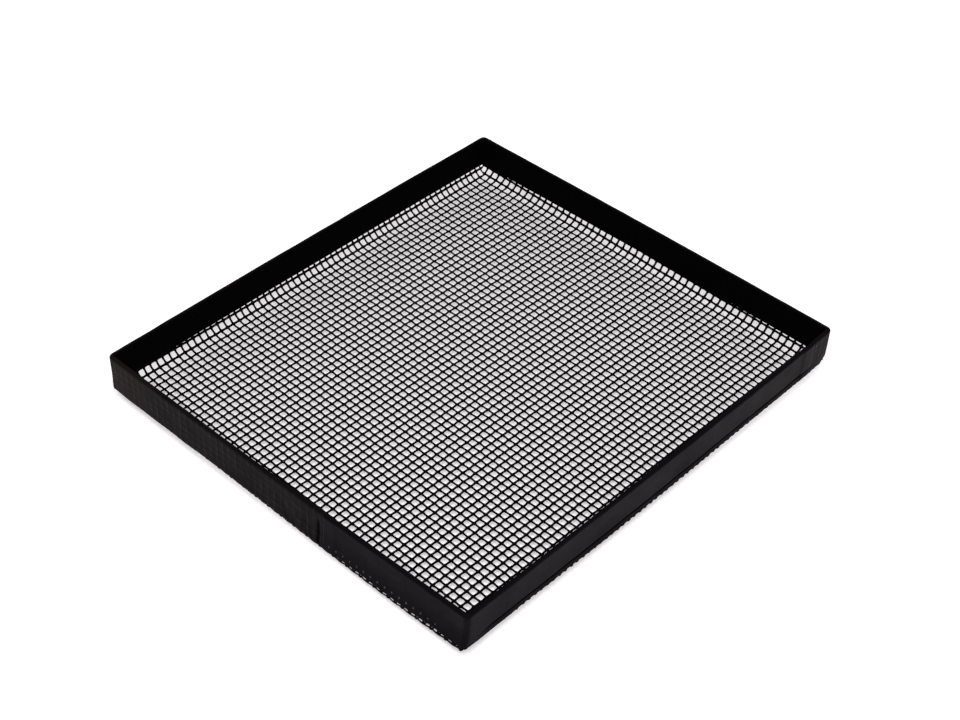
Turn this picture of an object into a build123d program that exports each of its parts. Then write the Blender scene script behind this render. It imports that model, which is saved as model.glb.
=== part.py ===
from build123d import *
import math
import os

os.makedirs("parts", exist_ok=True)

# A shallow oven basket of open-mesh coated glass fabric. The mesh is the floor; it turns up
# at all four sides round the outside of a flat steel hoop, and a smooth coated-fabric band,
# folded over the hoop's top edge, closes it in. Millimetres, +Z up, the floor's underside at
# Z = 0 and the origin at the middle of the floor.

# ---- driving dimensions
rim_x = 273.4  # outside of the rim along X, corner to corner
rim_y = 307.4  # outside of the rim along Y
overall_height = 26.5
rim_corner_radius = 3.2  # outside corners, seen from above
side_bow = 0.9  # how far each wall's middle stands out past its corners

band_thickness = 0.3  # smooth coated fabric
inner_band_edge = 6.5  # height of the inner leaf's lower edge above the floor's underside
band_wrap_angle = 48.0  # how far round the fold the outer leaf follows the mesh, in degrees
lap_on_front = 28.0  # X of the joint between the two band strips in the front wall
lap_on_right = 135.0  # Y of their joint in the right wall

hoop_thickness = 1.2  # flat steel strip
hoop_lower_edge = 9.1  # height of its lower edge
hoop_into_hem = 0.3  # how far its top edge reaches up into the rounded hem

fold_radius = 8.5  # middle of the mesh where the floor turns up into the walls
strand_thickness = 0.45  # one coated yarn
warp_pitch = 4.6  # between the strands that run along X
weft_pitch = 5.0  # between the strands that run along Y
warp_width = 1.1
weft_width = 1.2

open_rows = 3  # rows of openings up each wall; above them the sheet is shut inside the band
mesh_corner_radius = 12.0  # the sheet is cut away at the corners to clear the folded band

lay_gap = 0.05  # room between one layer of the wall and the next
end_gap = 0.05  # between a floor strand's end and the turned-up mesh
strip_gap = 0.1  # between the ends of the two band strips

# ---- worked out from them: insets are measured inward from the rim's outside
mesh_thickness = 2 * strand_thickness
mesh_inset = band_thickness + lay_gap
hoop_inset = mesh_inset + mesh_thickness + lay_gap
inner_leaf_inset = hoop_inset + hoop_thickness + lay_gap
wall_thickness = inner_leaf_inset + band_thickness
hem_radius = wall_thickness / 2
hem_start = overall_height - hem_radius
fold_inset = mesh_inset + mesh_thickness / 2 + fold_radius
fold_height = mesh_thickness / 2 + fold_radius
reach = rim_x + rim_y  # longer than anything it has to cut through


def rim_face(inset, height, corner_radius):
    """The face inside the rim's outline moved in by inset, with its four bowed sides."""
    x, y = rim_x / 2, rim_y / 2
    with BuildSketch(Plane.XY.offset(height)) as face:
        with BuildLine():
            ThreePointArc((-x, -y), (0, -y - side_bow), (x, -y))
            ThreePointArc((x, -y), (x + side_bow, 0), (x, y))
            ThreePointArc((x, y), (0, y + side_bow), (-x, y))
            ThreePointArc((-x, y), (-x - side_bow, 0), (-x, -y))
        make_face()
        if inset > 0:
            offset(amount=-inset, kind=Kind.INTERSECTION, mode=Mode.REPLACE)
        if corner_radius > 0:
            fillet(face.vertices(), corner_radius)
    return face.sketch


def strand_places(pitch, half_length):
    """Evenly spaced places either side of the middle, as far as half_length."""
    count = int(half_length // pitch)
    return [pitch * i for i in range(-count, count + 1)]


# ---- the flat steel hoop inside the upper wall
with BuildPart() as rim_hoop:
    hoop_top = hem_start + hoop_into_hem
    outer_edge = rim_face(hoop_inset, hoop_lower_edge, rim_corner_radius - hoop_inset)
    extrude(outer_edge, amount=hoop_top - hoop_lower_edge)
    inner_inset = hoop_inset + hoop_thickness
    inner_edge = rim_face(inner_inset, hoop_lower_edge, rim_corner_radius - inner_inset)
    extrude(inner_edge, amount=hoop_top - hoop_lower_edge, mode=Mode.SUBTRACT)
rim_hoop.part.label = "rim_hoop"
export_step(rim_hoop.part, "parts/rim_hoop.step")

# ---- the floor of the mesh: warp strands along X below, weft strands along Y on top
with BuildPart() as floor_warp_strands:
    with BuildSketch():
        with Locations(*[(0, y) for y in strand_places(warp_pitch, rim_y / 2 - fold_inset)]):
            Rectangle(reach, warp_width)
    extrude(amount=strand_thickness)
    floor_outline = rim_face(fold_inset + end_gap, 0, 0)
    extrude(floor_outline, amount=mesh_thickness, mode=Mode.INTERSECT)
floor_warp_strands.part.label = "floor_warp_strands"
export_step(floor_warp_strands.part, "parts/floor_warp_strands.step")

with BuildPart() as floor_weft_strands:
    with BuildSketch(Plane.XY.offset(strand_thickness)):
        with Locations(*[(x, 0) for x in strand_places(weft_pitch, rim_x / 2 - fold_inset)]):
            Rectangle(weft_width, reach)
    extrude(amount=strand_thickness)
    extrude(floor_outline, amount=mesh_thickness, mode=Mode.INTERSECT)
floor_weft_strands.part.label = "floor_weft_strands"
export_step(floor_weft_strands.part, "parts/floor_weft_strands.step")


# ---- the four turned-up edges of the mesh
def mesh_flap(half_width, half_length, along_pitch, along_width, up_pitch, up_width):
    """One turned-up edge of the mesh, as it stands at +X, half_width from the middle.

    It is a bent sheet with its openings cut out. The strands that come up from the floor lie
    along_pitch apart and are along_width wide; those along the wall have up_pitch and up_width.
    """
    fold_start = half_width - fold_inset
    bow_radius = (half_length**2 + side_bow**2) / (2 * side_bow)
    bow_centre = half_width + side_bow - bow_radius
    half_turn = math.asin(half_length / bow_radius)
    end_plane = Plane(
        origin=(bow_centre, 0, 0),
        x_dir=(math.cos(half_turn), -math.sin(half_turn), 0),
        z_dir=(-math.sin(half_turn), -math.cos(half_turn), 0),
    )
    quarter = fold_radius * math.pi / 2

    # where the strands along the wall lie, measured up the sheet from the start of the fold
    beyond_floor = up_pitch * (fold_start // up_pitch + 1) - fold_start
    rows = [beyond_floor + up_pitch * i for i in range(open_rows)]
    lower_edges = [0] + [row + up_width / 2 for row in rows[:-1]]
    upper_edges = [row - up_width / 2 for row in rows]
    columns = [y + along_pitch / 2 for y in strand_places(along_pitch, half_length - fold_inset)[:-1]]

    with BuildPart() as flap:
        with BuildSketch(end_plane):
            with BuildLine():
                fold = JernArc((bow_radius - fold_inset, mesh_thickness / 2), (1, 0), fold_radius, 90)
                Line(fold @ 1, (fold @ 1) + (0, hem_start - fold_height))
            trace(line_width=mesh_thickness)
        revolve(axis=Axis((bow_centre, 0, 0), (0, 0, 1)), revolution_arc=2 * math.degrees(half_turn))
        for low, high in zip(lower_edges, upper_edges):
            if high - low < up_width:
                continue
            middle = (low + high) / 2
            angle = min(middle, quarter) / fold_radius
            x = fold_start + side_bow / 2 + fold_radius * math.sin(angle)
            z = fold_height - fold_radius * math.cos(angle) + max(0, middle - quarter)
            with Locations(*[Location((x, y, z), (0, -math.degrees(angle), 0)) for y in columns]):
                Box(high - low, along_pitch - along_width, 6 * mesh_thickness, mode=Mode.SUBTRACT)
        with BuildSketch():
            corner = half_length
            with BuildLine():
                Polyline(
                    (half_width - corner + end_gap, 0),
                    (half_width + corner, 2 * corner - end_gap),
                    (half_width + corner, -2 * corner + end_gap),
                    close=True,
                )
            make_face()
        extrude(amount=overall_height, mode=Mode.INTERSECT)
    return flap.part


flap_across = mesh_flap(rim_x / 2, rim_y / 2, warp_pitch, warp_width, weft_pitch, weft_width)
flap_along = mesh_flap(rim_y / 2, rim_x / 2, weft_pitch, weft_width, warp_pitch, warp_width)
mesh_outline = rim_face(mesh_inset, 0, mesh_corner_radius)
for side, angle, flap in (
    ("right", 0, flap_across),
    ("back", 90, flap_along),
    ("left", 180, flap_across),
    ("front", 270, flap_along),
):
    with BuildPart() as mesh_wall:
        add(flap, rotation=(0, 0, angle))
        extrude(mesh_outline, amount=overall_height, mode=Mode.INTERSECT)
    mesh_wall.part.label = f"mesh_wall_{side}"
    export_step(mesh_wall.part, f"parts/mesh_wall_{side}.step")


# ---- the smooth band folded over the hoop's top edge, in two strips
def band_section(start):
    """Across the wall: inner leaf, rounded hem, and outer leaf that follows the mesh into its fold."""
    inner = wall_thickness - band_thickness / 2
    outer = band_thickness / 2
    wrap_radius = fold_inset - outer
    with BuildSketch(start) as section:
        with BuildLine():
            inner_leaf = Line((inner, inner_band_edge), (inner, hem_start))
            hem = ThreePointArc(
                inner_leaf @ 1, (hem_radius, overall_height - band_thickness / 2), (outer, hem_start)
            )
            outer_leaf = Line(hem @ 1, (outer, fold_height))
            JernArc(outer_leaf @ 1, (0, -1), wrap_radius, band_wrap_angle)
        trace(line_width=band_thickness)
    return section.sketch


rim_path = rim_face(0, 0, rim_corner_radius).face().outer_wire()
forward = rim_path % 0
inward = Vector(0, 0, 1).cross(forward)
with BuildPart() as whole_band:
    add(band_section(Plane(rim_path @ 0, x_dir=inward, z_dir=forward)))
    sweep(path=rim_path)

# the front strip goes round one corner, from the joint in the front wall to that in the right
strip_corner = (lap_on_front, lap_on_right)
with BuildPart() as band_front_strip:
    add(whole_band.part)
    with Locations(strip_corner):
        Box(reach, reach, reach, align=(Align.MIN, Align.MAX, Align.CENTER), mode=Mode.INTERSECT)
band_front_strip.part.label = "band_front_strip"
export_step(band_front_strip.part, "parts/band_front_strip.step")

with BuildPart() as band_rear_strip:
    add(whole_band.part)
    with Locations((lap_on_front - strip_gap, lap_on_right + strip_gap)):
        Box(reach, reach, reach, align=(Align.MIN, Align.MAX, Align.CENTER), mode=Mode.SUBTRACT)
band_rear_strip.part.label = "band_rear_strip"
export_step(band_rear_strip.part, "parts/band_rear_strip.step")
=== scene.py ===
# %% [markdown]
# # An oven basket of coated open mesh
# The object is a shallow basket for crisping food in an oven. It is made of four things: a flat
# steel hoop, one sheet of open mesh woven from coated glass yarn, and two strips of smooth coated
# cloth folded over the hoop. Everything is black. What makes it look real is the rhythm of a few
# thousand small openings, the soft roll where the mesh turns up, and the marks of handling and
# heat pressing on the band.
#
# The design model comes in first, as a fixed frame. Its hoop stays as it is, and the cloth pieces
# take the places of its plain solids.

# %% Load the frame
import math
from collections import namedtuple

import bpy
import numpy as np
from mathutils import Matrix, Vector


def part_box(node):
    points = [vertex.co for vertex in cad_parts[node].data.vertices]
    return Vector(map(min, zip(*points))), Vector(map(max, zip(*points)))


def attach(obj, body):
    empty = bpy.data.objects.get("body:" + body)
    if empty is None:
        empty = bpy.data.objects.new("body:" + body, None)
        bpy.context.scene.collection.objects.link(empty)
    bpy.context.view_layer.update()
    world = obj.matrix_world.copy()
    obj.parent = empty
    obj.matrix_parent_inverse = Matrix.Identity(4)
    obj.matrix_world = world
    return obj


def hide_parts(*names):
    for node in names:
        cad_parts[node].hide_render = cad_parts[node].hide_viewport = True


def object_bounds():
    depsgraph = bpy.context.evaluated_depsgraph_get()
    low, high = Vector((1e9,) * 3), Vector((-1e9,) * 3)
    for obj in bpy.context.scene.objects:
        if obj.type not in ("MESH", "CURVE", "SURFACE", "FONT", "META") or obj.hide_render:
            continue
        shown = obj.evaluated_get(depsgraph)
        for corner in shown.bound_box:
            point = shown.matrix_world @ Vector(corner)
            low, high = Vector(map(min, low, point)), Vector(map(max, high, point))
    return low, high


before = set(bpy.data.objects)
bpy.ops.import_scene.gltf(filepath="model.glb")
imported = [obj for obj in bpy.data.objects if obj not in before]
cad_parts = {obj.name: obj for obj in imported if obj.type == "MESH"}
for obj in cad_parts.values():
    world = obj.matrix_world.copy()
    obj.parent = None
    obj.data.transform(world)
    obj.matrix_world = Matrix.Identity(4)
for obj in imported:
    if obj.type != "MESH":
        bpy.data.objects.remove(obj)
cad_low, cad_high = [list(corner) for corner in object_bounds()]
print("nodes:", sorted(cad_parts))
print("frame box, mm:", [round(1000 * v, 1) for v in cad_low + cad_high])

# %% [markdown]
# The sizes that the cloth shares with the frame are read from the frame's own boxes: how far the
# rim reaches, how high it is, and where the floor's strands end and the mesh starts to turn up.

# %% Read the shared sizes
MM = 0.001
floor_low, floor_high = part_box("floor_warp_strands")
floor_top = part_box("floor_weft_strands")[1]
wall_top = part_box("mesh_wall_right")[1].z

side_bow = 0.9 * MM
rim_half_x = cad_high[0] - side_bow
rim_half_y = cad_high[1] - side_bow
rim_height = cad_high[2]
fold_start_x = floor_high.x - side_bow
fold_start_y = floor_top.y - side_bow
mesh_middle = floor_top.z / 2
print("rim half sizes, mm:", round(rim_half_x / MM, 2), round(rim_half_y / MM, 2))
print("fold starts at, mm:", round(fold_start_x / MM, 2), round(fold_start_y / MM, 2))

# %% [markdown]
# ## Camera
# The camera stands well back with a long lens, so the basket's far side is only a little smaller
# than its near side. It is placed first, because every later choice of detail depends on how large
# a thing is in the picture. Its three axes are written as the columns of a rotation matrix.

# %% Place the camera
camera_data = bpy.data.cameras.new("camera")
camera_data.lens = 70.39
camera_data.sensor_width = 36.0
camera_data.clip_end = 20.0
camera = bpy.data.objects.new("camera", camera_data)
bpy.context.scene.collection.objects.link(camera)
camera_axes = (
    (0.73333, -0.46529, 0.49571),
    (0.67898, 0.46385, -0.56907),
    (0.03485, 0.75389, 0.65608),
)
camera.matrix_world = Matrix.Translation((0.53057, -0.60557, 0.71275)) @ Matrix(camera_axes).to_4x4()
bpy.context.scene.camera = camera
bpy.context.scene.view_settings.view_transform = "Standard"
print("camera at", [round(v, 3) for v in camera.location], "lens", camera_data.lens)

# %% [markdown]
# ## A small way to write node arithmetic
# The weave and the fold are formulas, and a formula of thirty Math nodes is hard to read when each
# node is made by hand. `Field` wraps one node socket, and plus, minus and times between fields add
# the Math nodes. The result is an ordinary node tree.

# %% Helper: fields that do arithmetic
class Field:
    """A number that changes over a surface: the output socket of a node in a tree."""

    def __init__(self, tree, socket):
        self.tree = tree
        self.socket = socket

    def math(self, operation, *others):
        node = self.tree.nodes.new("ShaderNodeMath")
        node.operation = operation
        for place, value in enumerate((self,) + others):
            plug(self.tree, value, node.inputs[place])
        return Field(self.tree, node.outputs[0])

    def __add__(self, other):
        return self.math("ADD", other)

    def __sub__(self, other):
        return self.math("SUBTRACT", other)

    def __mul__(self, other):
        return self.math("MULTIPLY", other)

    def __truediv__(self, other):
        return self.math("DIVIDE", other)

    def __pow__(self, other):
        return self.math("POWER", other)


def plug(tree, value, socket):
    """Links a field or a socket to an input, or sets a plain number on it."""
    if isinstance(value, Field):
        tree.links.new(value.socket, socket)
    elif isinstance(value, bpy.types.NodeSocket):
        tree.links.new(value, socket)
    else:
        socket.default_value = value


def add_node(tree, kind, inputs=(), **settings):
    """A new node with its settings, and its inputs by name or number."""
    node = tree.nodes.new(kind)
    for name, value in settings.items():
        setattr(node, name, value)
    for name, value in dict(inputs).items():
        plug(tree, value, node.inputs[name])
    return node


print("field helper ready")

# %% [markdown]
# ## Shared surface effects
# Three effects turn up in more than one finish, so each is a shader node group that is built once.
# `cloth_grain` is the fine plain weave of the glass cloth under its coating. `yarn_emboss` is the
# mesh showing through where the band was pressed on it. `handling_marks` is a soft cloudiness with
# a few dull streaks, from baking and wiping. Each group only puts out masks and heights.

# %% Helper: an empty shader group
def new_group(name, inputs, outputs):
    """A shader node group with named number inputs (with defaults) and outputs, and its two ends."""
    tree = bpy.data.node_groups.new(name, "ShaderNodeTree")
    tree.interface.new_socket("Vector", in_out="INPUT", socket_type="NodeSocketVector")
    for label, default in inputs.items():
        socket = tree.interface.new_socket(label, in_out="INPUT", socket_type="NodeSocketFloat")
        socket.default_value = default
    for label in outputs:
        tree.interface.new_socket(label, in_out="OUTPUT", socket_type="NodeSocketFloat")
    return tree, tree.nodes.new("NodeGroupInput"), tree.nodes.new("NodeGroupOutput")


def wave_of(coordinate, pitch, shift=0.0):
    """A smooth ridge that repeats once each pitch: 1 on the ridge and 0 halfway between two."""
    turns = (coordinate - shift) / pitch
    return (turns * (2 * math.pi)).math("COSINE") * 0.5 + 0.5


def noise_of(tree, vector, scale, detail=3.0, roughness=0.5):
    """The grey value of a noise texture, from 0 to 1."""
    node = add_node(
        tree,
        "ShaderNodeTexNoise",
        {"Vector": vector, "Scale": scale, "Detail": detail, "Roughness": roughness},
    )
    return Field(tree, node.outputs["Fac"])


def stretched(tree, vector, x, y, z=1.0):
    """The same coordinates with each axis scaled on its own."""
    node = add_node(tree, "ShaderNodeVectorMath", {0: vector, 1: (x, y, z)}, operation="MULTIPLY")
    return node.outputs[0]


# %% Effect: the grain of the glass cloth
grain_group, grain_in, grain_out = new_group(
    "cloth_grain", {"Thread pitch": 0.0005, "Unevenness": 0.5}, ["Height"]
)
parts = add_node(grain_group, "ShaderNodeSeparateXYZ", {0: grain_in.outputs["Vector"]})
grain_pitch = Field(grain_group, grain_in.outputs["Thread pitch"])
across_threads = wave_of(Field(grain_group, parts.outputs[0]), grain_pitch)
along_threads = wave_of(Field(grain_group, parts.outputs[1]), grain_pitch)
unevenness = noise_of(grain_group, grain_in.outputs["Vector"], 900.0, 2.0)
weight = Field(grain_group, grain_in.outputs["Unevenness"])
threads = across_threads * along_threads
plug(grain_group, threads * 0.5 + unevenness * weight, grain_out.inputs["Height"])
print("group", grain_group.name, "nodes:", len(grain_group.nodes))

# %% Effect: the mesh showing through the band
emboss_group, emboss_in, emboss_out = new_group(
    "yarn_emboss", {"Pitch along": 0.005, "Pitch up": 0.0046, "Sharpness": 3.0}, ["Height", "Upright"]
)
parts = add_node(emboss_group, "ShaderNodeSeparateXYZ", {0: emboss_in.outputs["Vector"]})
sharpness = Field(emboss_group, emboss_in.outputs["Sharpness"])
upright = wave_of(
    Field(emboss_group, parts.outputs[0]),
    Field(emboss_group, emboss_in.outputs["Pitch along"]),
)
level = wave_of(
    Field(emboss_group, parts.outputs[1]),
    Field(emboss_group, emboss_in.outputs["Pitch up"]),
    shift=0.0012,
)
upright_yarn = upright**sharpness
level_yarn = level**sharpness
patches = noise_of(emboss_group, emboss_in.outputs["Vector"], 95.0, 3.0, 0.6)
patchy = ((patches - 0.38) * 3.4).math("MAXIMUM", 0.0)
pressed = (upright_yarn + level_yarn * 0.6) * patchy
plug(emboss_group, pressed, emboss_out.inputs["Height"])
plug(emboss_group, upright_yarn, emboss_out.inputs["Upright"])
print("group", emboss_group.name, "nodes:", len(emboss_group.nodes))

# %% Effect: marks of handling and baking
marks_group, marks_in, marks_out = new_group(
    "handling_marks", {"Cloud scale": 30.0, "Streak scale": 160.0}, ["Clouds", "Streaks"]
)
clouds = noise_of(marks_group, marks_in.outputs["Vector"], marks_in.outputs["Cloud scale"], 4.0, 0.6)
drawn_out = stretched(marks_group, marks_in.outputs["Vector"], 0.25, 1.0, 1.0)
streaks = noise_of(marks_group, drawn_out, marks_in.outputs["Streak scale"], 3.0, 0.55)
plug(marks_group, (clouds - 0.35) * 2.2, marks_out.inputs["Clouds"])
plug(marks_group, ((streaks - 0.55) * 6.0).math("MAXIMUM", 0.0), marks_out.inputs["Streaks"])
print("group", marks_group.name, "nodes:", len(marks_group.nodes))

# %% [markdown]
# ## Finishes
# The coating is a black fluoropolymer on glass: nearly black, a little glossy where it is smooth,
# and duller where the cloth below shows. The Principled shader stays in each material, and only
# colours, roughness and a bump height come from the groups.

# %% Helper: a new material and its shader
def new_finish(name, specular):
    """An empty material with a Principled shader, and the tree and shader to wire."""
    finish = bpy.data.materials.new(name)
    finish.use_nodes = True
    tree = finish.node_tree
    shader = tree.nodes["Principled BSDF"]
    shader.inputs["Specular IOR Level"].default_value = specular
    return finish, tree, shader


def place_group(tree, group, vector, **values):
    """A shader group in a material, with its numbers set by name."""
    node = add_node(tree, "ShaderNodeGroup", node_tree=group)
    tree.links.new(vector, node.inputs["Vector"])
    for label, value in values.items():
        node.inputs[label.replace("_", " ")].default_value = value
    return node


def mix_colour(tree, factor, first, second):
    """A colour between two, by a field from 0 to 1."""
    node = add_node(tree, "ShaderNodeMix", data_type="RGBA", clamp_factor=True)
    plug(tree, factor, node.inputs[0])
    for socket, colour in ((node.inputs[6], first), (node.inputs[7], second)):
        if isinstance(colour, bpy.types.NodeSocket):
            tree.links.new(colour, socket)
        else:
            socket.default_value = (*colour, 1.0)
    return node.outputs[2]


def bump_of(tree, height, distance):
    """A Bump node for a height field, as a normal."""
    node = add_node(tree, "ShaderNodeBump", {"Height": height, "Distance": distance, "Strength": 1.0})
    return node.outputs["Normal"]


# %% [markdown]
# The mesh yarns are dipped in the coating several times, so they look like soft black plastic with
# a faint crosswise ribbing from the twisted glass inside, a little glossier on the raised knuckles
# where two yarns cross. The knuckles are also painted a paler grey in cloudy patches: a painted
# highlight.

# %% Finish: coated yarn
yarn_finish, tree, shader = new_finish("coated_yarn", specular=0.03)
place = add_node(tree, "ShaderNodeTexCoord").outputs["Object"]
twist = noise_of(tree, place, 1400.0, 2.0)
marks = place_group(tree, marks_group, place, Cloud_scale=45.0)
knuckle = add_node(tree, "ShaderNodeAttribute", attribute_name="knuckle")
raised = Field(tree, knuckle.outputs["Fac"])
clouds = Field(tree, marks.outputs["Clouds"])
# painted highlight: the raised knuckles turn paler grey where the cloud noise allows
knuckle_highlight = mix_colour(tree, raised * clouds, (0.0008, 0.0006, 0.0008), (0.004, 0.0037, 0.0043))
tree.links.new(knuckle_highlight, shader.inputs["Base Color"])
plug(tree, (clouds * 0.12 + 0.34) - raised * 0.1, shader.inputs["Roughness"])
tree.links.new(bump_of(tree, twist, 0.00006), shader.inputs["Normal"])
print("finish", yarn_finish.name)


# %% [markdown]
# The band is a smoother cloth. It comes in two strips of the same cloth that ended up looking
# different: the front strip stayed smooth, and the rear strip was pressed hard enough for the mesh
# to print through. One function wires both, and the amounts differ. The patterns follow the cloth,
# so they read the strip's own map, in metres along the strip and across it.

# %% Finish: the band's coated cloth
band_specular = 0.02
dot_highlight_colour = (0.3, 0.3, 0.31)  # painted highlights on the crowns of the upright yarns
# painted shade: the near-black of the groove, the cloth below it, the lap line and the inner leaf
painted_shade_colour = (0.0005, 0.0005, 0.0005)


def band_finish(name, tone, lit_warm_tone, emboss_depth, dot_strength, gloss):
    """The strip's finish: black cloth with grain, a printed-through mesh, cloudy wear, painted highlight
    dots, painted shade and painted light.
    """
    finish, tree, shader = new_finish(name, specular=band_specular)
    cloth = add_node(tree, "ShaderNodeUVMap", uv_map="cloth").outputs["UV"]
    grain = place_group(tree, grain_group, cloth, Thread_pitch=0.00055, Unevenness=0.6)
    emboss = place_group(tree, emboss_group, cloth, Pitch_along=0.005, Pitch_up=0.0046, Sharpness=3.0)
    marks = place_group(tree, marks_group, cloth, Cloud_scale=28.0, Streak_scale=260.0)
    clouds = Field(tree, marks.outputs["Clouds"])
    streaks = Field(tree, marks.outputs["Streaks"])
    press, dots, painted_shade, left_end_light = (
        Field(tree, add_node(tree, "ShaderNodeAttribute", attribute_name=label).outputs["Fac"])
        for label in ("pressed", "dots", "painted_shade", "left_end_light")
    )
    upright = Field(tree, emboss.outputs["Upright"])
    printed = Field(tree, emboss.outputs["Height"]) * press
    # painted light: the left end of the front wall is lighter and warmer
    base = mix_colour(tree, left_end_light, tone, lit_warm_tone)
    cloudy = mix_colour(tree, clouds * 0.5, base, tuple(0.55 * c for c in tone))
    marked = mix_colour(tree, streaks * 0.25, cloudy, tuple(1.9 * c for c in tone))
    printed_colour = mix_colour(tree, printed * 0.45, marked, tuple(1.7 * c for c in lit_warm_tone))
    # painted highlight: a pale dot on the crown of each upright yarn in the dots row
    dot_highlight = (upright**6.0) * clouds * dots * dot_strength
    dotted = mix_colour(tree, dot_highlight, printed_colour, dot_highlight_colour)
    # painted shade: darker and less glossy in the groove, below it on the right wall, at the lap and on the
    # inner leaf
    plug(tree, (painted_shade * -1.0 + 1.0) * band_specular, shader.inputs["Specular IOR Level"])
    shaded_colour = mix_colour(tree, painted_shade, dotted, painted_shade_colour)
    tree.links.new(shaded_colour, shader.inputs["Base Color"])
    plug(tree, clouds * 0.14 + gloss, shader.inputs["Roughness"])
    height = printed * emboss_depth + Field(tree, grain.outputs["Height"]) * 0.00002
    tree.links.new(bump_of(tree, height, 1.0), shader.inputs["Normal"])
    return finish


smooth_finish = band_finish(
    "smooth_band_cloth", (0.0034, 0.0026, 0.0036), (0.0042, 0.0030, 0.0037), 0.0001, 0.9, 0.4
)
printed_finish = band_finish(
    "printed_band_cloth", (0.0042, 0.0033, 0.0032), (0.0085, 0.0056, 0.0058), 0.0003, 0.25, 0.42
)
print("finishes", smooth_finish.name, printed_finish.name)

# %% [markdown]
# The hoop is a plain flat steel strip, bent and spot welded before the cloth goes over it. The band
# hides it, but a part that is taken apart still has to look right, so it gets a brushed grain that
# runs along the strip, and a bluish heat tint in patches.

# %% Finish: brushed steel for the hoop
steel_finish, tree, shader = new_finish("brushed_hoop_steel", specular=0.5)
place = add_node(tree, "ShaderNodeTexCoord").outputs["Object"]
brushed = noise_of(tree, stretched(tree, place, 1.0, 1.0, 60.0), 90.0, 3.0)
marks = place_group(tree, marks_group, place, Cloud_scale=18.0)
tinted = mix_colour(
    tree, Field(tree, marks.outputs["Clouds"]) * 0.6, (0.46, 0.45, 0.44), (0.3, 0.29, 0.31)
)
tree.links.new(tinted, shader.inputs["Base Color"])
shader.inputs["Metallic"].default_value = 1.0
plug(tree, brushed * 0.25 + 0.22, shader.inputs["Roughness"])
tree.links.new(bump_of(tree, brushed, 0.00005), shader.inputs["Normal"])
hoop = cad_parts["rim_hoop"]
hoop.data.materials.clear()
hoop.data.materials.append(steel_finish)
print("finish", steel_finish.name, "on", hoop.name)

# %% [markdown]
# ## The mesh
# The mesh is woven from flat yarns: warp yarns run along X and weft yarns along Y, over and under
# each other, and the coating glues every crossing. It is never quite square to the rim, because it
# was cut and folded by hand.
#
# Each yarn starts as one straight line in a weaving plan, where crossings lie on whole numbers.
# Geometry Nodes then do what a loom and a folding jig do: thicken each line, wave it over and
# under, and bend the sheet up at the four sides. Because both yarn directions pass through the same
# bend, they still meet at every crossing on the walls.

# %% The weave's sizes
warp_pitch = 4.6 * MM
weft_pitch = 4.9987 * MM
first_warp_y = -1.52 * MM
first_weft_x = -0.57 * MM
warp_drift = -0.0228
weft_drift = 0.0052
soft_fold = 8.5 * MM  # back and left sides
tight_fold = 2.6 * MM  # front and right sides
wall_lean = 0.5 * MM
yarn_steps = 6
hem_room = 1.2 * MM  # the sheet stops this far under the top of the design model's wall
plan_margin = 30 * MM  # more rows than the sheet can hold; those beyond its edge are skipped
corner_share = 0.94  # a yarn this far into its own fold, as a share of the radius, is cut short
wall_middle_x = fold_start_x + soft_fold
wall_middle_y = fold_start_y + soft_fold


def sheet_up(radius):
    """How far the sheet runs beyond the start of its fold, measured along the sheet."""
    return radius * math.pi / 2 + (wall_top - hem_room - mesh_middle - radius)


for radius in (soft_fold, tight_fold):
    print("fold radius", round(radius / MM, 1), "sheet beyond it, mm:", round(sheet_up(radius) / MM, 1))


# %% Draw the weaving plan
def plan_lines(pitch, start, other_pitch, other_start, wall_here, wall_across, radii_here, radii_across):
    """One (row, first, last) for each yarn: which row it is, and between which crossings it runs.

    The radii are those of the folds on the low side and on the high side.
    """
    rows = []
    furthest = int((wall_across + plan_margin) / pitch) + 1
    for row in range(-furthest, furthest + 1):
        place = start + row * pitch
        radius = radii_across[0 if place < 0 else 1]
        beyond = abs(place) - (wall_across - radius)
        if beyond > sheet_up(radius):
            continue
        bow = side_bow * (1 - min(abs(place) / wall_across, 1.0) ** 2)
        ends = []
        for way, here in zip((-1, 1), radii_here):
            up = sheet_up(here) if beyond < corner_share * radius else here * math.pi / 2
            end = (way * (wall_here - here - wall_lean + bow + up) - other_start) / other_pitch
            ends.append(round(end * yarn_steps - way * 0.5) / yarn_steps)
        rows.append((row, *ends))
    return rows


radii_x = (soft_fold, tight_fold)
radii_y = (tight_fold, soft_fold)
warp_plan = plan_lines(
    warp_pitch, first_warp_y, weft_pitch, first_weft_x, wall_middle_x, wall_middle_y, radii_x, radii_y
)
weft_plan = plan_lines(
    weft_pitch, first_weft_x, warp_pitch, first_warp_y, wall_middle_y, wall_middle_x, radii_y, radii_x
)
print("warp yarns:", len(warp_plan), "weft yarns:", len(weft_plan))


# %% [markdown]
# The tree below is built twice, once for each yarn direction. The yarn's section is a flattened
# hexagon, which smooth shading rounds, so each crossing costs only a few dozen faces. A yarn is
# wider where it crosses another, because the coating pools there and rounds the corners of the
# openings.

# %% Geometry Nodes: weave the yarns and fold the sheet
def new_geometry_tree(name, inputs):
    """An empty geometry tree with a Geometry socket at both ends and named number inputs."""
    tree = bpy.data.node_groups.new(name, "GeometryNodeTree")
    tree.interface.new_socket("Geometry", in_out="INPUT", socket_type="NodeSocketGeometry")
    tree.interface.new_socket("Geometry", in_out="OUTPUT", socket_type="NodeSocketGeometry")
    for label, default in inputs.items():
        socket = tree.interface.new_socket(label, in_out="INPUT", socket_type="NodeSocketFloat")
        socket.default_value = default
    start = tree.nodes.new("NodeGroupInput")
    return tree, start, {label: Field(tree, start.outputs[label]) for label in inputs}


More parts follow.
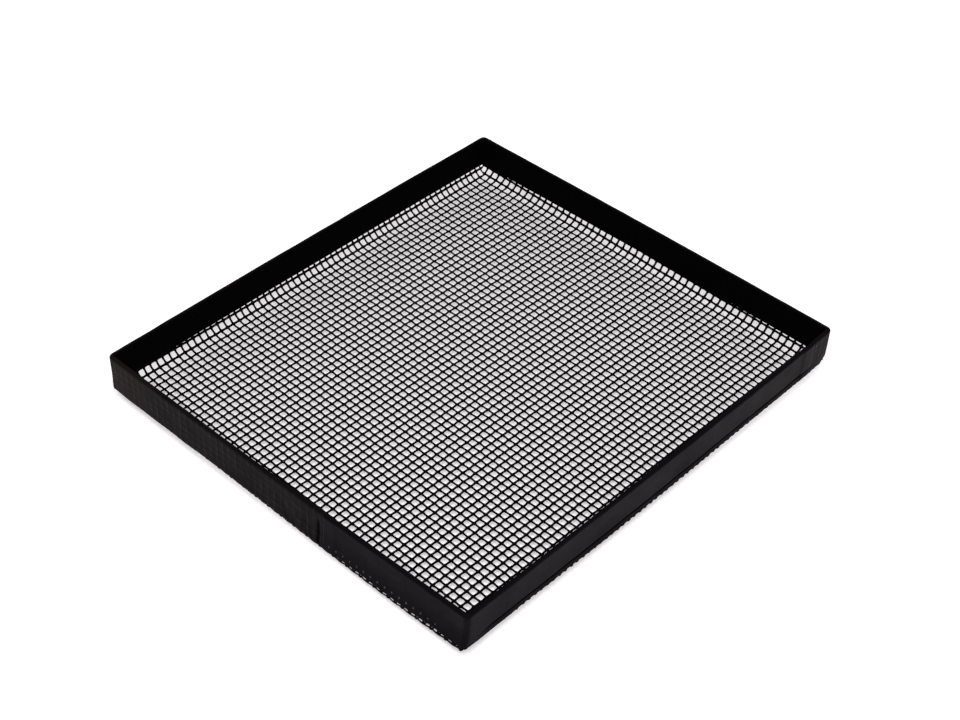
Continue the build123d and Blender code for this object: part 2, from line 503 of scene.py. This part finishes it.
def front_flare(x, size):
    """How far the front fold stands out past the rim: little at the left, most at the right."""
    share = ((x - size["Front flare from"]) / size["Front flare length"]).math("MAXIMUM", 0.0)
    share = share.math("MINIMUM", 1.0)
    return share * share * (share * -2.0 + 3.0) * size["Front flare"] + size["Least flare"]


def right_flare(y, size):
    """How far the right fold stands out past the rim: most a little in front of the middle."""
    reach = (y - size["Right flare middle"]) / size["Right flare reach"]
    return (reach * reach * -1.0).math("EXPONENT") * size["Right flare"]


def near_fold(fold, size):
    """0 on the floor, 1 from the start of the fold on, with a ramp between."""
    ramp = ((fold.out - fold.start) / size["Flare ramp"] + 1.0).math("MAXIMUM", 0.0)
    return ramp.math("MINIMUM", 1.0)


Fold = namedtuple("Fold", "side out rise lift start radius flare")


def fold_up(along, across, height, axis, half_across, size):
    """One axis of the fold.

    The fold's radius on the low side and on the high side are two inputs of the tree. The front
    and right folds stand out past the rim by the flare, which is already in the new place and in
    the start. The caller takes it away again higher up, where the wall leans back to the rim.
    """
    side = along.math("SIGN")
    high = side * 0.5 + 0.5
    radius = size["Low fold " + axis] + (size["High fold " + axis] - size["Low fold " + axis]) * high
    bow = size["Side bow"] * ((across / half_across) ** 2 * -1.0 + 1.0)
    if axis == "X":
        flare = right_flare(across, size) * high
    else:
        flare = front_flare(across, size) * (high * -1.0 + 1.0)
    start = size["Wall " + axis] - radius - size["Wall lean"] + bow + flare
    past = (along.math("ABSOLUTE") - start).math("MAXIMUM", 0.0)
    quarter = radius * (math.pi / 2)
    turn = past.math("MINIMUM", quarter) / radius
    inner = radius - height
    out = along.math("ABSOLUTE").math("MINIMUM", start) + inner * turn.math("SINE")
    rise = radius - inner * turn.math("COSINE") + (past - quarter).math("MAXIMUM", 0.0)
    gap = (start - along.math("ABSOLUTE")).math("MAXIMUM", 0.0)
    soft = radius / size["Low fold X"]
    lift = (gap / size["Lift length"] * -1.0).math("EXPONENT") * size["Lift"] * soft * soft
    return Fold(side, out, rise, lift, start, radius, flare)


yarn_sizes = {
    "Pitch X": weft_pitch,
    "Pitch Y": warp_pitch,
    "Start X": first_weft_x,
    "Start Y": first_warp_y,
    "Drift X": weft_drift,
    "Drift Y": warp_drift,
    "Width": 1.32 * MM,
    "Width at crossing": 1.85 * MM,
    "Thickness": 0.58 * MM,
    "Wave": 0.16 * MM,
    "Unevenness": 0.35 * MM,
    "Low fold X": soft_fold,
    "High fold X": tight_fold,
    "Low fold Y": tight_fold,
    "High fold Y": soft_fold,
    "Wall X": wall_middle_x,
    "Wall Y": wall_middle_y,
    "Side bow": side_bow,
    "Wall lean": wall_lean,
    "Front flare": 2.7 * MM,
    "Least flare": 0.4 * MM,
    "Front flare from": -80.0 * MM,
    "Front flare length": 190.0 * MM,
    "Right flare": 0.9 * MM,
    "Right flare middle": -25.0 * MM,
    "Right flare reach": 85.0 * MM,
    "Flare height": 17.0 * MM,
    "Flare ramp": 20.0 * MM,
    "Lift": 0.5 * MM,
    "Lift length": 5.0 * MM,
    "Middle height": mesh_middle,
    "Corner radius": 2.2 * MM,
    "Step": 1 / yarn_steps,
}


def weaving_tree(name, warp):
    """The tree that turns a plan of straight lines into woven, folded yarns."""
    tree, start, size = new_geometry_tree(name, yarn_sizes)
    section_radius = 0.02
    half_hexagon = 0.577  # a hexagon reaches 0.866 of its radius up, so this gives half a thickness
    wander_scale = 0.31
    section = add_node(
        tree, "GeometryNodeCurvePrimitiveCircle", {"Resolution": 6, "Radius": section_radius}
    )
    lines = add_node(tree, "GeometryNodeMeshToCurve", {"Mesh": start.outputs["Geometry"]})
    stepped = add_node(tree, "GeometryNodeResampleCurve", {"Curve": lines.outputs[0]}, mode="LENGTH")
    plug(tree, size["Step"], stepped.inputs["Length"])
    here = add_node(tree, "GeometryNodeInputPosition").outputs[0]
    kept = add_node(tree, "GeometryNodeCaptureAttribute", {"Geometry": stepped.outputs[0]})
    kept.capture_items.new("VECTOR", "Centre")
    tree.links.new(here, kept.inputs["Centre"])
    tube = add_node(
        tree,
        "GeometryNodeCurveToMesh",
        {"Curve": kept.outputs[0], "Profile Curve": section.outputs[0], "Fill Caps": True},
    )
    centre = add_node(tree, "ShaderNodeSeparateXYZ", {0: kept.outputs["Centre"]})
    p, q = Field(tree, centre.outputs[0]), Field(tree, centre.outputs[1])
    corner = add_node(tree, "ShaderNodeSeparateXYZ", {0: here})
    edge_x, edge_y = Field(tree, corner.outputs[0]) - p, Field(tree, corner.outputs[1]) - q
    edge_z = Field(tree, corner.outputs[2])

    # where this is on the flat sheet, with the yarn's own width and wave
    along, across = (p, edge_y) if warp else (q, edge_x)
    crossing = ((along * math.pi).math("COSINE") ** 2) ** 1.6
    width = size["Width"] + (size["Width at crossing"] - size["Width"]) * crossing
    sideways = across / section_radius * width * 0.5
    over = (p * math.pi).math("COSINE") * (q * math.pi).math("COSINE") * (1.0 if warp else -1.0)
    height = edge_z / section_radius * size["Thickness"] * half_hexagon + over * size["Wave"]
    wander_x = (noise_of(tree, kept.outputs["Centre"], wander_scale, 2.0) - 0.5) * size["Unevenness"]
    shifted = add_node(tree, "ShaderNodeVectorMath", {0: kept.outputs["Centre"], 1: (40.0, 9.0, 5.0)})
    wander_y = (noise_of(tree, shifted.outputs[0], wander_scale, 2.0) - 0.5) * size["Unevenness"]
    flat_y = size["Start Y"] + size["Pitch Y"] * q
    flat_x = size["Start X"] + size["Pitch X"] * p + size["Drift X"] * flat_y + wander_x
    flat_y = flat_y + size["Drift Y"] * flat_x + wander_y
    if warp:
        flat_y = flat_y + sideways
    else:
        flat_x = flat_x + sideways

    # bend both ways, and keep the higher of the two
    fold_x = fold_up(flat_x, flat_y, height, "X", rim_half_y, size)
    fold_y = fold_up(flat_y, flat_x, height, "Y", rim_half_x, size)
    rise = fold_x.rise.math("MAXIMUM", fold_y.rise)
    z = rise + fold_x.lift.math("MAXIMUM", fold_y.lift) + size["Middle height"]

    # the walls lean back from the flared folds to the rim
    left = (rise / size["Flare height"] * -1.0 + 1.0).math("MAXIMUM", 0.0)
    back = left * left * -1.0 + 1.0
    (out_x, start_x), (out_y, start_y) = (
        (fold.out - fold.flare * back * near_fold(fold, size), fold.start - fold.flare * back)
        for fold in (fold_x, fold_y)
    )

    # round the plan's four corners off, so that the sheet stays inside the band
    past_x = (out_x - start_x - fold_x.radius + size["Corner radius"]).math("MAXIMUM", 0.0)
    past_y = (out_y - start_y - fold_y.radius + size["Corner radius"]).math("MAXIMUM", 0.0)
    longest = past_x.math("MAXIMUM", past_y)
    slant = (past_x * past_x + past_y * past_y).math("SQRT").math("MAXIMUM", 1e-6)
    pull = longest / slant
    x = (out_x - past_x + past_x * pull) * fold_x.side
    y = (out_y - past_y + past_y * pull) * fold_y.side

    place = add_node(tree, "ShaderNodeCombineXYZ", {"X": x, "Y": y, "Z": z})
    folded = add_node(tree, "GeometryNodeSetPosition", {"Geometry": tube.outputs[0]})
    tree.links.new(place.outputs[0], folded.inputs["Position"])
    knuckle = add_node(
        tree,
        "GeometryNodeStoreNamedAttribute",
        {"Geometry": folded.outputs[0], "Name": "knuckle"},
        data_type="FLOAT",
        domain="POINT",
    )
    plug(tree, crossing * over.math("MAXIMUM", 0.0), knuckle.inputs["Value"])
    smooth = add_node(tree, "GeometryNodeSetShadeSmooth", {"Geometry": knuckle.outputs[0]})
    real = add_node(tree, "GeometryNodeRealizeInstances", {"Geometry": smooth.outputs[0]})
    painted = add_node(tree, "GeometryNodeSetMaterial", {"Geometry": real.outputs[0]})
    painted.inputs["Material"].default_value = yarn_finish
    end = tree.nodes.new("NodeGroupOutput")
    tree.links.new(painted.outputs[0], end.inputs[0])
    return tree


warp_tree = weaving_tree("weave_warp_yarns", True)
weft_tree = weaving_tree("weave_weft_yarns", False)
print("nodes in each weaving tree:", len(warp_tree.nodes), len(weft_tree.nodes))


# %% [markdown]
# The mesh is one sheet, but a single piece of it would have too many faces to handle, so each yarn
# direction is divided in two halves that meet between two yarns. The wefts sit a little wider and
# straighter than the warps, which is set on the modifier before the tree is run for the first time.

# %% Weave the four pieces
def grown(piece, tree, values):
    """Runs a geometry tree on a piece, with its inputs set by name, and returns the plain mesh."""
    modifier = piece.modifiers.new("grow", "NODES")
    modifier.node_group = tree
    for item in tree.interface.items_tree:
        if item.item_type == "SOCKET" and item.in_out == "INPUT" and item.name in values:
            modifier[item.identifier] = values[item.name]
    evaluated = piece.evaluated_get(bpy.context.evaluated_depsgraph_get())
    mesh = bpy.data.meshes.new_from_object(evaluated)
    piece.modifiers.remove(modifier)
    piece.data = mesh
    return piece


def weave(name, rows, warp, values):
    """One piece of the mesh, from the rows of the plan that it takes."""
    points = []
    for row, first, last in rows:
        points += [(first, row, 0), (last, row, 0)] if warp else [(row, first, 0), (row, last, 0)]
    plan = bpy.data.meshes.new(name)
    plan.from_pydata(points, [(i, i + 1) for i in range(0, len(points), 2)], [])
    piece = bpy.data.objects.new(name, plan)
    bpy.context.scene.collection.objects.link(piece)
    grown(piece, warp_tree if warp else weft_tree, values)
    piece.data.name = name
    print(name, "yarns", len(rows), "faces", len(piece.data.polygons))
    return piece


weft_look = {"Width": 1.42 * MM, "Width at crossing": 1.9 * MM}
mesh_pieces = {
    "front": weave("mesh_warp_yarns_front", [r for r in warp_plan if r[0] < 0], True, {}),
    "back": weave("mesh_warp_yarns_back", [r for r in warp_plan if r[0] >= 0], True, {}),
    "left": weave("mesh_weft_yarns_left", [r for r in weft_plan if r[0] < 0], False, weft_look),
    "right": weave("mesh_weft_yarns_right", [r for r in weft_plan if r[0] >= 0], False, weft_look),
}

# %% [markdown]
# ## The band
# The band is cloth folded over the hoop: one leaf hangs down inside, the fold makes the rounded
# rim, and the other leaf runs down outside and follows the mesh into its roll. It could be swept as
# a curve, but the real band has pressed lines, ripples and a printed mesh that come and go along
# its length. So its middle surface is a grid of numbers, moved by small formulas, and Solidify
# gives it the cloth's thickness.

# %% The rim's outline
corner_radius = 3.2 * MM
corner_steps = 14
rim_step = 1.3 * MM
band_thickness = 0.3 * MM


def rim_outline(step):
    """Points round the rim, front wall first: place, outward direction and distance along it."""
    places, outward = [], []
    half = (rim_half_x, rim_half_y)
    walls = (((-1, -1), (1, 0)), ((1, -1), (0, 1)), ((1, 1), (-1, 0)), ((-1, 1), (0, -1)))
    for corner, run in walls:
        run, corner = np.array(run, float), np.array(corner, float)
        normal = np.array((run[1], -run[0]))
        length = 2 * half[0 if run[0] else 1]
        begin = corner * half
        straight = np.linspace(corner_radius, length - corner_radius, int(length / step))
        for d in straight[:-1]:
            places.append(begin + run * d)
            outward.append(normal)
        centre = begin + run * (length - corner_radius) - normal * corner_radius
        for turn in np.linspace(0, math.pi / 2, corner_steps)[:-1]:
            way = normal * math.cos(turn) + run * math.sin(turn)
            places.append(centre + way * corner_radius)
            outward.append(way)
    places, outward = np.array(places), np.array(outward)
    bow_x = side_bow * (1 - (places[:, 1] / rim_half_y) ** 2)
    bow_y = side_bow * (1 - (places[:, 0] / rim_half_x) ** 2)
    places[:, 0] += np.sign(places[:, 0]) * np.clip(bow_x, 0, None)
    places[:, 1] += np.sign(places[:, 1]) * np.clip(bow_y, 0, None)
    gone = np.linalg.norm(np.roll(places, -1, 0) - places, axis=1)
    return places, outward, np.concatenate([[0], np.cumsum(gone)[:-1]]), gone.sum()


rim_places, rim_outward, rim_distance, rim_length = rim_outline(rim_step)
print("rim outline:", len(rim_places), "points,", round(rim_length / MM), "mm round")

# %% Across the band: inner leaf, rounded rim, outer leaf
wall_thickness = 2.85 * MM
hem_radius = wall_thickness / 2 - band_thickness / 2
hem_start = rim_height - wall_thickness / 2
inner_edge = 6.5 * MM
wrap_clearance = 0.65 * MM  # from the middle of the mesh to the middle of the outer leaf


def band_section(fold_radius, lower_edge):
    """Rows across the band: inset from the outside, height, and which way the surface faces."""
    rows = []
    inner, outer = wall_thickness - band_thickness / 2, band_thickness / 2
    for z in np.linspace(inner_edge, hem_start, 15)[:-1]:
        rows.append((inner, z, 1.0))
    for turn in np.linspace(0, math.pi, 9):
        way = (math.cos(turn), math.sin(turn))
        rows.append((wall_thickness / 2 + hem_radius * way[0], hem_start + hem_radius * way[1], way[0]))
    fold_height = mesh_middle + fold_radius
    wrap_radius = fold_radius + wrap_clearance
    for z in np.linspace(hem_start, lower_edge, 50)[1:]:
        down = max(0.0, fold_height - z)
        rows.append((outer + wrap_radius - math.sqrt(wrap_radius**2 - down**2), z, -1.0))
    return np.array(rows)


# the outer leaf ends lower at the front and right than at the back and left
near_edge = 3.8 * MM
far_edge = 7.6 * MM
near_section = band_section(tight_fold, near_edge)
far_section = band_section(soft_fold, far_edge)
gone = np.hypot(*np.diff(near_section[:, :2], axis=0).T)
section_distance = np.concatenate([[0], np.cumsum(gone)])
band_width = float(section_distance[-1])
print("cloth across the band:", round(band_width / MM, 1), "mm")


# %% [markdown]
# The two strips meet in the front wall and in the right wall, close to the far corner. The front
# strip lies on top at both laps. Its outer leaf has a pressed groove on the right wall, where a hot
# bar sealed it to the mesh, and the cloth below the groove follows the yarns.

# %% Where the strips meet, and helpers: soft windows and ripples
lap_on_front = 33.8 * MM
lap_on_right = 135 * MM
groove_height = 8.0 * MM
groove_width = 0.55 * MM
dots_height = 6.0 * MM
dots_width = 0.45 * MM


def window(value, low, high, soft):
    """1 between low and high, 0 outside, with a soft step of that length at both ends."""
    up = np.clip((value - low) / soft + 0.5, 0, 1)
    down = np.clip((high - value) / soft + 0.5, 0, 1)
    return up * up * (3 - 2 * up) * down * down * (3 - 2 * down)


def ripples(s, t, length_s, length_t, seed, count=24):
    """A smooth random surface from -1 to 1: a sum of waves with a fixed seed."""
    random = np.random.default_rng(seed)
    total = np.zeros(np.broadcast(s, t).shape)
    for _ in range(count):
        a, b = random.normal(size=2)
        phase = random.uniform(0, 2 * math.pi)
        total += np.sin(2 * math.pi * (a * s / length_s + b * t / length_t) + phase)
    return total / math.sqrt(count) * 0.8


# %% Make the two strips
end_room = 0.2 * MM  # outline points nearer to a strip's end than this are left out
ripple_height = 0.10 * MM
groove_depth = 0.3 * MM
lap_wrinkle = 0.22 * MM
corner_wrinkle = 0.16 * MM
inner_set_back = 0.12 * MM  # how much further in the inner leaf lies
edge_wander = 0.35 * MM  # how far the outer leaf's lower edge strays up and down
edge_drop = 0.7 * MM  # how much lower it hangs at the left end of the front wall
edge_zone = 6 * MM  # how much of the leaf moves with its edge


def band_strip(name, starts, ends, finish, printed, lap_height):
    """A strip of the band between two distances round the rim.

    printed is 1 where the mesh shows through and 0 where it doesn't. lap_height is how far the
    strip's ends stand out, to lie over the other strip.
    """
    turns = np.concatenate([rim_distance, rim_distance + rim_length])
    chosen = np.where((turns > starts + end_room) & (turns < ends - end_room))[0]
    s = np.concatenate([[starts], turns[chosen], [ends]])
    loop = np.concatenate([rim_distance, rim_distance + rim_length, [2 * rim_length]])
    places = np.vstack([rim_places, rim_places, rim_places[:1]])
    outward = np.vstack([rim_outward, rim_outward, rim_outward[:1]])
    place = np.stack([np.interp(s, loop, places[:, axis]) for axis in (0, 1)], 1)
    way = np.stack([np.interp(s, loop, outward[:, axis]) for axis in (0, 1)], 1)
    way /= np.linalg.norm(way, axis=1)[:, None]

    s_grid, t_grid = s[:, None], section_distance[None, :]
    x_here, y_here = place[:, 0][:, None], place[:, 1][:, None]
    far = window(place[:, 1], -rim_half_y + 14 * MM, 1.0, 26 * MM) * (way[:, 0] < 0.5)
    far = np.maximum(far, window(place[:, 1], rim_half_y - 6 * MM, 1.0, 10 * MM))[:, None, None]
    rows_here = near_section[None] * (1 - far) + far_section[None] * far
    flat_inset, height = rows_here[:, :, 0], rows_here[:, :, 1]
    outer = (near_section[:, 2] < -0.5)[None, :] * 1.0
    inner = (near_section[:, 2] > 0.5)[None, :] * 1.0
    right_wall = window(y_here, -140 * MM, 137 * MM, 14 * MM) * (way[:, 0] > 0.5)[:, None]
    front_wall = (way[:, 1] < -0.5)[:, None] * 1.0
    along = np.where(np.abs(way[:, 0]) > 0.7, place[:, 1], place[:, 0])[:, None]

    # the cloth's own moves, outward, in metres
    push = ripple_height * ripples(s_grid, t_grid, 60 * MM, 40 * MM, 3) * (outer + inner)
    groove = np.exp(-(((height - groove_height) / groove_width) ** 2)) * outer * right_wall
    push = push - groove_depth * groove
    below = window(height, -1.0 * MM, 7.6 * MM, 1.2 * MM) * outer
    knuckles = np.cos(2 * math.pi * along / warp_pitch) * np.cos(2 * math.pi * height / (5 * MM))
    push = push + below * 0.10 * MM * knuckles * (0.4 + printed)
    lap_zone = window(x_here, 4 * MM, 29 * MM, 9 * MM) * front_wall * outer
    lap_zone = lap_zone * window(height, 1 * MM, 17 * MM, 6 * MM)
    push = push + lap_zone * lap_wrinkle * ripples(s_grid, t_grid, 5 * MM, 26 * MM, 8) * printed
    # painted shadow: a dark line at the front wall's lap, where the front strip's end shades the rear strip
    lap_shadow_line = window(x_here, lap_on_front - 1.6 * MM, lap_on_front + 0.2 * MM, 0.6 * MM)
    lap_shadow_line = lap_shadow_line * front_wall * outer * window(height, -1.0, 20 * MM, 6 * MM) * 0.9
    corner_zone = window(x_here, 108 * MM, 134 * MM, 12 * MM) * front_wall * outer
    push = push + corner_zone * corner_wrinkle * ripples(s_grid + 0.9 * t_grid, t_grid, 9 * MM, 60 * MM, 5)
    near_end = np.minimum(s - starts, ends - s)[:, None]
    push = push + lap_height * window(near_end, -9 * MM, 9 * MM, 3 * MM) * outer

    lean = wall_lean * (1 - height / rim_height) * outer
    inward_push = np.where(outer > 0, -push, push + inner_set_back * inner)
    inset = flat_inset + lean + inward_push
    left_over = np.clip(1 - height / yarn_sizes["Flare height"], 0, 1) ** 2 * outer
    share = (place[:, 0] - yarn_sizes["Front flare from"]) / yarn_sizes["Front flare length"]
    share = np.clip(share, 0, 1)
    front_out = share * share * (3 - 2 * share) * yarn_sizes["Front flare"] + yarn_sizes["Least flare"]
    front_out *= window(place[:, 1], -1.0, -rim_half_y + 16 * MM, 26 * MM)
    reach = (place[:, 1] - yarn_sizes["Right flare middle"]) / yarn_sizes["Right flare reach"]
    right_out = np.exp(-(reach**2)) * yarn_sizes["Right flare"] * np.clip(way[:, 0], 0, 1)
    edge = edge_wander * ripples(s_grid, t_grid * 0, 45 * MM, 1.0, 12)
    edge_share = np.clip((section_distance - (band_width - edge_zone)) / edge_zone, 0, 1)[None, :]
    edge = edge - edge_drop * (1 - share[:, None]) * front_wall
    z = height + edge * edge_share
    x = x_here - way[:, 0][:, None] * inset + right_out[:, None] * left_over
    y = y_here - way[:, 1][:, None] * inset - front_out[:, None] * left_over
    points = np.stack([x, y, z], -1).reshape(-1, 3)

    rows, columns = len(s), len(near_section)
    index = np.arange(rows * columns).reshape(rows, columns)
    faces = np.stack([index[:-1, :-1], index[:-1, 1:], index[1:, 1:], index[1:, :-1]], -1)
    mesh = bpy.data.meshes.new(name)
    mesh.from_pydata(points.tolist(), [], faces.reshape(-1, 4).tolist())
    cloth = mesh.uv_layers.new(name="cloth")
    corners = np.array([loop.vertex_index for loop in mesh.loops])
    flat = np.stack(np.broadcast_arrays(s_grid, t_grid), -1).reshape(-1, 2)
    cloth.data.foreach_set("uv", flat[corners].astype(np.float32).ravel())
    # the row of painted highlight dots on the front wall
    off_row = height - dots_height - 0.3 * front_out[:, None]
    dots_row = np.exp(-((off_row / dots_width) ** 2)) * outer * front_wall
    dots_row = dots_row * window(x_here, 34 * MM, 118 * MM, 8 * MM)
    # painted light: the left end of the front wall gets the lighter, warmer tone
    left_end_light = window(x_here, -140 * MM, -100 * MM, 30 * MM) * front_wall
    # painted shade: the groove, the cloth below it on the right wall, the lap line and the whole inner leaf
    # are painted darker
    fields = {
        "pressed": (0.2 + 0.45 * printed) * outer + 0.3 * inner,
        "dots": dots_row,
        "painted_shade": np.clip(groove * 0.95 + below * right_wall * 0.45 + lap_shadow_line + inner * 0.75, 0, 1),
        "left_end_light": left_end_light,
    }
    for label, values in fields.items():
        attribute = mesh.attributes.new(label, "FLOAT", "POINT")
        spread = np.broadcast_to(values, (rows, columns)).astype(np.float32)
        attribute.data.foreach_set("value", np.ascontiguousarray(spread).ravel())
    mesh.polygons.foreach_set("use_smooth", np.ones(len(mesh.polygons), bool))
    mesh.materials.append(finish)
    piece = bpy.data.objects.new(name, mesh)
    bpy.context.scene.collection.objects.link(piece)
    thick = piece.modifiers.new("cloth thickness", "SOLIDIFY")
    thick.thickness = band_thickness
    thick.offset = 0.0
    print(name, round((ends - starts) / MM), "mm long,", len(mesh.polygons), "faces before thickness")
    return piece


front_start = lap_on_front + rim_half_x
right_wall_starts = float(rim_distance[np.argmax(rim_outward[:, 0] > 0.999)])
front_end = right_wall_starts + lap_on_right + rim_half_y - corner_radius
lap_under = 7 * MM
front_strip = band_strip("band_front_cloth", front_start, front_end, smooth_finish, 0.0, 0.32 * MM)
rear_strip = band_strip(
    "band_rear_cloth", front_end - lap_under, front_start + rim_length + lap_under, printed_finish, 1.0, 0.0
)

# %% [markdown]
# ## Join the pieces to the frame
# Nothing moves on this basket, so every piece rides on the one body. Each cloth piece stands for
# the solids that it replaces, which are hidden. An open mesh is mostly air, so its yarns' own area
# is about 0.36 of the cut, a share found by measuring these woven pieces. The cut of each half and
# the length of each strip are worked out.

# %% Ride and replace
replaced = {
    "front": ("floor_warp_strands", "mesh_wall_front"),
    "back": ("floor_warp_strands", "mesh_wall_back"),
    "left": ("floor_weft_strands", "mesh_wall_left"),
    "right": ("floor_weft_strands", "mesh_wall_right"),
}
ends_up = sum(sheet_up(radius) - radius for radius in (soft_fold, tight_fold))
cut_x = 2 * wall_middle_x + ends_up
cut_y = 2 * wall_middle_y + ends_up
for side, piece in mesh_pieces.items():
    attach(piece, "root")
    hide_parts(*replaced[side])
    cut = (cut_x, cut_y / 2) if side in ("front", "back") else (cut_x / 2, cut_y)
    0.36 * cut[0] * cut[1]
strips = (
    (front_strip, "band_front_strip", front_end - front_start),
    (rear_strip, "band_rear_strip", rim_length - (front_end - front_start) + 2 * lap_under),
)
for piece, node, length in strips:
    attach(piece, "root")
    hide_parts(node)
print("mesh cut, mm:", round(cut_x / MM), "x", round(cut_y / MM))

# %% [markdown]
# ## Floor and light
# One very large soft lamp hangs above, in front and a little to the right. A weak lamp from the
# right and a dim white world fill in. The paper glows a little, so it stays white in the openings.
#
# The paper lies a little below the basket, and nothing is drawn in the gap: the basket hovers. It
# is a choice of lighting, which lets the yarns shade the paper inside the openings. The basket's
# own lowest point stays where the design model has it.

# %% Lay the floor
floor_size = 6.0
floor_gap = 2.5 * MM
floor_mesh = bpy.data.meshes.new("studio_floor")
floor_z = min(cad_low[2], min(v.co.z for p in mesh_pieces.values() for v in p.data.vertices))
half = floor_size / 2
floor_z -= floor_gap
floor_mesh.from_pydata(
    [(-half, -half, floor_z), (half, -half, floor_z), (half, half, floor_z), (-half, half, floor_z)],
    [],
    [(0, 1, 2, 3)],
)
floor = bpy.data.objects.new("studio_floor", floor_mesh)
bpy.context.scene.collection.objects.link(floor)
floor_finish, tree, shader = new_finish("studio_paper", specular=0.0)
place = add_node(tree, "ShaderNodeTexCoord").outputs["Object"]
paper = mix_colour(tree, noise_of(tree, place, 3.0), (0.93, 0.925, 0.93), (0.95, 0.948, 0.95))
tree.links.new(paper, shader.inputs["Base Color"])
shader.inputs["Roughness"].default_value = 1.0
shader.inputs["Emission Color"].default_value = (1.0, 0.97, 0.985, 1.0)
shader.inputs["Emission Strength"].default_value = 0.32
floor_mesh.materials.append(floor_finish)
print("floor at", round(floor_z / MM, 2), "mm")


# %% Hang the lamps
def soft_lamp(name, place, aim, size, power, colour):
    """A square area lamp that points at a place."""
    data = bpy.data.lights.new(name, "AREA")
    data.shape = "SQUARE"
    data.size = size
    data.energy = power
    data.color = colour
    lamp = bpy.data.objects.new(name, data)
    bpy.context.scene.collection.objects.link(lamp)
    lamp.location = place
    way = Matrix.Translation(aim).to_translation() - lamp.location
    lamp.rotation_mode = "QUATERNION"
    lamp.rotation_quaternion = way.to_track_quat("-Z", "Y")
    return lamp


soft_lamp("overhead_lamp", (0.45, -0.65, 1.9), (0.0, 0.0, 0.0), 1.8, 35.0, (1.0, 0.955, 0.98))
soft_lamp("right_lamp", (1.9, 0.2, 0.7), (0.0, 0.0, 0.0), 0.9, 4.0, (0.93, 0.97, 1.0))
world = bpy.data.worlds.new("studio")
world.use_nodes = True
world.node_tree.nodes["Background"].inputs["Color"].default_value = (1.0, 1.0, 1.0, 1.0)
world.node_tree.nodes["Background"].inputs["Strength"].default_value = 0.45
bpy.context.scene.world = world
print("lamps and world set")
